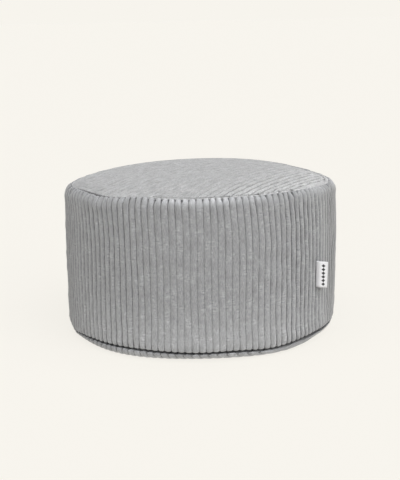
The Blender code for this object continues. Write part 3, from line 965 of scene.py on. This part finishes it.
def makeTop():
    seamRadius = pouf["topSeamDiameter"] / 2
    seamHeight = pouf["topSeamHeight"]
    rim = topPanel["rimRows"][::-1]
    rimRadii = [seamRadius - inset for inset, rise in rim]
    rimHeights = np.array([seamHeight + rise for inset, rise in rim])
    disc = rimRadii[0]
    plan, wale, ringOf, faces, rings = panelGrid(topPanel, disc, rimRadii)
    x, y = turnedPlan(plan, topPanel)
    radius = np.hypot(x, y)
    rise = pouf["crown"] - (rimHeights[0] - seamHeight)
    height = np.where(ringOf >= 0, rimHeights[ringOf], rimHeights[0] + rise * (1 - (radius / disc) ** 2))
    azimuth = np.arctan2(x, -y)
    degrees = np.degrees(azimuth)
    lip = (ringOf >= 0) & (ringOf < len(rim) - 1) & (height < seamHeight)
    height = np.where(lip, seamHeight - (seamHeight - height) * topSeamOpen(azimuth), height)
    height -= dipAt(azimuth, seams["topDips"]) * smoothStep(radius, topPanel["dipsFrom"], seamRadius)
    height += topPush(azimuth, radius)
    across = plan[:, 0]
    crisp = smoothStep(-across, topPanel["crispFrom"], topPanel["crispTo"])
    share = topPanel["softShare"] * (1 - crisp) + topPanel["crispShare"] * crisp
    inFront, more = topPanel["runOut"]
    runOut = inFront + more * smoothStep(np.abs(degrees), *topPanel["runOutTurn"])
    share *= smoothStep(seamRadius - radius, 0.0002, runOut)
    plain = smoothStep(np.abs(across), topPanel["plainFrom"] * disc, topPanel["lineReach"] * disc)
    share *= 1 - plain
    # Painted highlight where crisp, painted light to the right and shade to the left, painted shade at both
    # tips and inside the open seam, and painted light on the lip behind
    paintedTone = topPanel["paintedCrispHighlight"] * crisp
    for place, spread, darker, reach in topPanel["shadedTips"]:
        near = smoothStep(radius, seamRadius - reach, seamRadius - 0.002)
        paintedTone -= darker * np.exp(-((degrees - place) / spread) ** 2) * near
    paintedTone += topPanel["paintedLightToRight"] * x / seamRadius
    paintedTone -= topPanel["paintedShadeInSeam"] * topSeamOpen(azimuth) * (ringOf > 2)
    paintedTone += topPanel["paintedLightOnTopLip"] * (ringOf > 2) * smoothStep(np.abs(degrees), 60.0, 80.0)
    grid = (np.stack((x, y, height), axis=1), wale, faces, rings)
    piece = finishPanel("pouf_top", topPanel, plan, grid, (share, paintedTone), rimHeights[-1])
    raiseWales(piece, {**topWales, "Cloth": makeCorduroy("corduroyTop", topFinish)})
    return piece


def makeBase():
    contact = pouf["contactDiameter"] / 2
    seamRadius = pouf["baseSeamDiameter"] / 2
    radii = [contact]
    heights = [0.0]
    for angle in np.radians(basePanel["rimAngles"]):
        radii.append(contact + (seamRadius - contact) * math.sin(angle))
        heights.append(pouf["baseSeamHeight"] * (1 - math.cos(angle)))
    for inset, rise in basePanel["seamRows"]:
        radii.append(seamRadius + inset)
        heights.append(pouf["baseSeamHeight"] + rise)
    plan, wale, ringOf, faces, rings = panelGrid(basePanel, contact, radii)
    x, y = turnedPlan(plan, basePanel)
    height = np.where(ringOf >= 0, np.array(heights)[ringOf], 0.0)
    azimuth = np.arctan2(x, -y)
    nearFloor = 1 - height / pouf["baseSeamHeight"]
    degrees = np.degrees(azimuth)
    ripple = basePanel["footSpread"] - basePanel["footRipple"] * np.cos(basePanel["footRipples"] * azimuth)
    pull, place, wide = basePanel["footPull"]
    ripple -= pull * np.exp(-((degrees - place) / wide) ** 2)
    closed = (1 - baseSeamOpen(azimuth)) * (ringOf > len(basePanel["rimAngles"]))
    height += closed * (pouf["baseSeamHeight"] - basePanel["closedBelow"] - height)
    height *= 1 - dipAt(azimuth, seams["baseDips"]) / pouf["baseSeamHeight"]
    radius = np.hypot(x, y)
    radius -= footTuck(azimuth) * smoothStep(radius, contact, seamRadius - 0.004)
    edge = 0.9 * contact
    radius += np.where(radius > edge, ripple * nearFloor * smoothStep(radius, edge, contact), 0)
    points = np.stack((radius * np.sin(azimuth), -radius * np.cos(azimuth), height), axis=1)
    share = np.where(ringOf == len(radii) - 1, 0.0, 1.0)
    # Painted shade on the rim's two sides, and inside the seam
    shaded = basePanel["shadedRight"] * within(degrees, (22.0, 50.0, 110.0, 165.0))
    shaded += basePanel["shadedLeft"] * within(-degrees, (28.0, 52.0, 110.0, 165.0))
    inSeam = ringOf > len(basePanel["rimAngles"]) + 2
    paintedTone = basePanel["plainTone"] - shaded - basePanel["paintedShadeInSeam"] * inSeam
    grid = (points, wale, faces, rings)
    piece = finishPanel("pouf_base", basePanel, plan, grid, (share, paintedTone), heights[-1])
    raiseWales(piece, {**baseWales, "Cloth": makeCorduroy("corduroyBase", baseFinish)})
    return piece


# ---- label

label = {
    "bottom": 0.1013,
    "top": 0.1481,
    "layer": 0.00045,  # one thickness of tape
    "slit": 0.0002,  # between the two layers
    "tuck": 0.0026,
    "droop": 0.0043,
    "droopCurve": 1.5,
    "standOffTop": 18.0,
    "standOffBottom": 12.5,
    "steps": ((0.0030, 0.00), (0.0030, 0.15), (0.0030, 0.60), (0.0040, 0.92), (0.0050, 1.00), (0.0060, 1.04)),
    "rows": 17,
    "foldPoints": 7,
    "pathSteps": 33,
}


def tapePath(level):
    # The tape's middle line seen from above, and its droop, out of the upright seam
    azimuth = math.radians(band["seamAzimuth"])
    outward = np.array((math.sin(azimuth), -math.cos(azimuth)))
    tangent = np.array((math.cos(azimuth), math.sin(azimuth)))
    standOff = math.radians(label["standOffTop"] * level + label["standOffBottom"] * (1 - level))
    height = label["bottom"] + (label["top"] - label["bottom"]) * level
    gone = np.concatenate(([0.0], np.cumsum([length for length, turned in label["steps"]])))
    turns = [turned for length, turned in label["steps"]]
    fine = np.linspace(0.0, gone[-1], label["pathSteps"])
    turned = np.interp(fine[:-1] + fine[1] / 2, (gone[:-1] + gone[1:]) / 2, turns) * (math.pi / 2 - standOff)
    heading = outward * np.cos(turned)[:, None] + tangent * np.sin(turned)[:, None]
    start = outward * (bandRadius(height) - label["tuck"])
    path = np.concatenate(([start], start + np.cumsum(heading * fine[1], axis=0)))
    drop = label["droop"] * (fine / gone[-1]) ** label["droopCurve"]
    return path, height - drop, fine


def makeLabel():
    half = label["layer"] + label["slit"] / 2
    sections = []
    maps = []
    for row in range(label["rows"]):
        level = row / (label["rows"] - 1)
        path, heights, gone = tapePath(level)
        heading = np.gradient(path, axis=0)
        heading /= np.linalg.norm(heading, axis=1)[:, None]
        side = np.stack((-heading[:, 1], heading[:, 0]), axis=1)
        end = path[-1]
        turn = np.linspace(0, math.pi, label["foldPoints"] + 2)[1:-1]
        loops = []
        for reach in (half, label["slit"] / 2):
            cap = end + reach * (np.cos(turn)[:, None] * side[-1] + np.sin(turn)[:, None] * heading[-1])
            flat = np.concatenate((path + side * reach, cap, (path - side * reach)[::-1]))
            rise = np.concatenate((heights, np.full(len(turn), heights[-1]), heights[::-1]))
            spot = np.concatenate((gone, np.full(len(turn), gone[-1]), 2 * gone[-1] - gone[::-1]))
            loops.append((np.column_stack((flat, rise)), spot))
        outer, inner = loops
        section = np.concatenate((outer[0], inner[0][::-1]))
        sections.append(section)
        spots = np.concatenate((outer[1], inner[1][::-1]))
        climb = level * (label["top"] - label["bottom"])
        maps.append(np.column_stack((spots, np.full(len(spots), climb))))
    size = len(sections[0])
    points = settled(np.concatenate(sections))
    cloth = np.concatenate(maps)
    faces = []
    joinRings(faces, label["rows"], size)
    for low in (0, (label["rows"] - 1) * size):
        for place in range(size // 2 - 1):
            far = size - 1 - place
            faces.append((low + place, low + place + 1, low + far - 1, low + far))
    piece = makePiece("side_label", points, faces, cornersOf(cloth, faces), {})
    facePiecesOut(piece)
    piece.data.materials.append(makeTape("wovenTape", tapeFinish))
    return piece


tapeFinish = {
    "thread": "#e6e6e9",
    "motif": "#2c2c2f",
    "threadPitch": 0.0006,
    "motifAt": 0.0345,  # metres along the tape, which is folded halfway
    "motifHalfWidth": 0.0043,
    "motifHalfHeight": 0.0032,
    "motifPitch": 0.0066,
    "motifFrom": 0.0028,
    "motifTo": 0.0424,
}


def makeTape(name, finish):
    # Woven polyester tape, smooth and a little shiny. Threads are 0.2 mm, drawn three times coarser
    material, tree, shader = newMaterial(name)
    clothMap = addNode(tree, "ShaderNodeUVMap", {"uv_map": "clothRun"})
    spot = addNode(tree, "ShaderNodeSeparateXYZ", None, {0: clothMap}).outputs
    # A plain column of small lozenges
    known = {"along": spot[0], "up": spot[1]}
    for step, operation, *sources in (
        ("fromColumn", "SUBTRACT", "along", finish["motifAt"]),
        ("aside", "ABSOLUTE", "fromColumn"),
        ("sideways", "DIVIDE", "aside", finish["motifHalfWidth"]),
        ("fromStart", "SUBTRACT", "up", finish["motifFrom"]),
        ("repeated", "PINGPONG", "fromStart", finish["motifPitch"] / 2),
        ("fromMiddle", "SUBTRACT", finish["motifPitch"] / 2, "repeated"),
        ("upward", "DIVIDE", "fromMiddle", finish["motifHalfHeight"]),
        ("both", "ADD", "sideways", "upward"),
        ("lozenge", "LESS_THAN", "both", 1.0),
        ("above", "GREATER_THAN", "up", finish["motifFrom"]),
        ("below", "LESS_THAN", "up", finish["motifTo"]),
        ("inRun", "MULTIPLY", "above", "below"),
        ("drawn", "MULTIPLY", "lozenge", "inRun"),
    ):
        inputs = {place: known.get(part, part) for place, part in enumerate(sources)}
        known[step] = addNode(tree, "ShaderNodeMath", {"operation": operation}, inputs)
    colour = addNode(tree, "ShaderNodeMix", {"data_type": "RGBA"},
                     {0: known["drawn"], 6: linearColour(finish["thread"]), 7: linearColour(finish["motif"])})
    tree.links.new(colour.outputs[2], shader.inputs["Base Color"])
    grid = addNode(tree, "ShaderNodeVectorMath", {"operation": "SCALE"},
                   {0: clothMap, "Scale": 1 / finish["threadPitch"]})
    weave = addNode(tree, "ShaderNodeTexChecker", None, {"Vector": grid, "Scale": 1.0})
    bump = addNode(tree, "ShaderNodeBump", None,
                   {"Height": weave.outputs["Fac"], "Strength": 0.15, "Distance": 0.0001})
    tree.links.new(bump.outputs[0], shader.inputs["Normal"])
    shader.inputs["Roughness"].default_value = 0.6
    shader.inputs["Sheen Weight"].default_value = 0.1
    return material


push = pushedCover()
print("filling pushed" if push else "filling left even")
sidePiece = makeBand()
print("side band made")
topPiece = makeTop()
print("top made")
basePiece = makeBase()
print("base made")
labelPiece = makeLabel()
print("label made")

# ---- floor and light

studio = {
    "paper": "#f7f4ed",
    "shadedShare": 0.10,  # how much of the floor's look comes from the light that falls on it
    "floorLight": 1.10,  # light on the open floor, where 1 shows the paper's own colour
    "ambient": 0.12,
    "ambientTint": "#f8f9ff",
    "backdropRadius": 30.0,
    "floorSides": 96,
    "lamps": {  # strength, softness in degrees, and where each shines from
        "leftSoftbox": (0.42, 40.0, (-1.0, -0.30, 0.40)),
        "rightSoftbox": (1.5, 50.0, (0.55, -0.80, 0.80)),
        "overhead": (2.2, 70.0, (0.12, -0.15, 1.0)),
    },
}


def makePaper(name, shadedShare, floorLight):
    # Pale seamless paper, matt, and so evenly lit that it hardly shades
    paper = linearColour(studio["paper"])
    material, tree, shader = newMaterial(name)
    shader.inputs["Base Color"].default_value = (*(part * shadedShare for part in paper[:3]), 1.0)
    shader.inputs["Roughness"].default_value = 1.0
    shader.inputs["Specular IOR Level"].default_value = 0.0
    shader.inputs["Emission Color"].default_value = paper
    shader.inputs["Emission Strength"].default_value = 1 - shadedShare * floorLight
    return material


def makeStudio():
    world = bpy.data.worlds.new("studio")
    bpy.context.scene.world = world
    world.use_nodes = True
    background = world.node_tree.nodes["Background"]
    background.inputs["Color"].default_value = linearColour(studio["ambientTint"])
    background.inputs["Strength"].default_value = studio["ambient"]

    # A round floor, and a dome that only shows as the paper behind and lets the light through
    rim = studio["backdropRadius"]
    mesh = bpy.data.meshes.new("floor")
    sides = studio["floorSides"]
    turn = [math.tau * side / sides for side in range(sides)]
    corners = [(rim * math.cos(angle), rim * math.sin(angle), 0.0) for angle in turn]
    mesh.from_pydata(corners, [], [tuple(range(sides))])
    floor = addObject("floor", mesh)
    mesh.materials.append(makePaper("paperFloor", studio["shadedShare"], studio["floorLight"]))

    shell = bmesh.new()
    bmesh.ops.create_uvsphere(shell, u_segments=48, v_segments=24, radius=rim * 0.999)
    backdropMesh = bpy.data.meshes.new("backdrop")
    shell.to_mesh(backdropMesh)
    shell.free()
    backdrop = addObject("backdrop", backdropMesh)
    backdropMesh.materials.append(makePaper("paperBackdrop", 0.0, 0.0))
    backdrop.visible_diffuse = False
    backdrop.visible_glossy = False
    backdrop.visible_shadow = False

    for name, (strength, softness, source) in studio["lamps"].items():
        lamp = addObject(name, bpy.data.lights.new(name, "SUN"))
        lamp.data.energy = strength
        lamp.data.angle = math.radians(softness)
        lamp.rotation_euler = Vector(source).to_track_quat("Z", "Y").to_euler()
    bpy.context.scene.view_settings.view_transform = "Standard"


makeStudio()
print("studio made")

# ---- what each piece is and rides on

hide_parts("side_band")
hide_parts("top_panel")
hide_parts("bottom_panel")
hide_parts("label")
for piece in (sidePiece, topPiece, basePiece, labelPiece):
    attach(piece, "root")
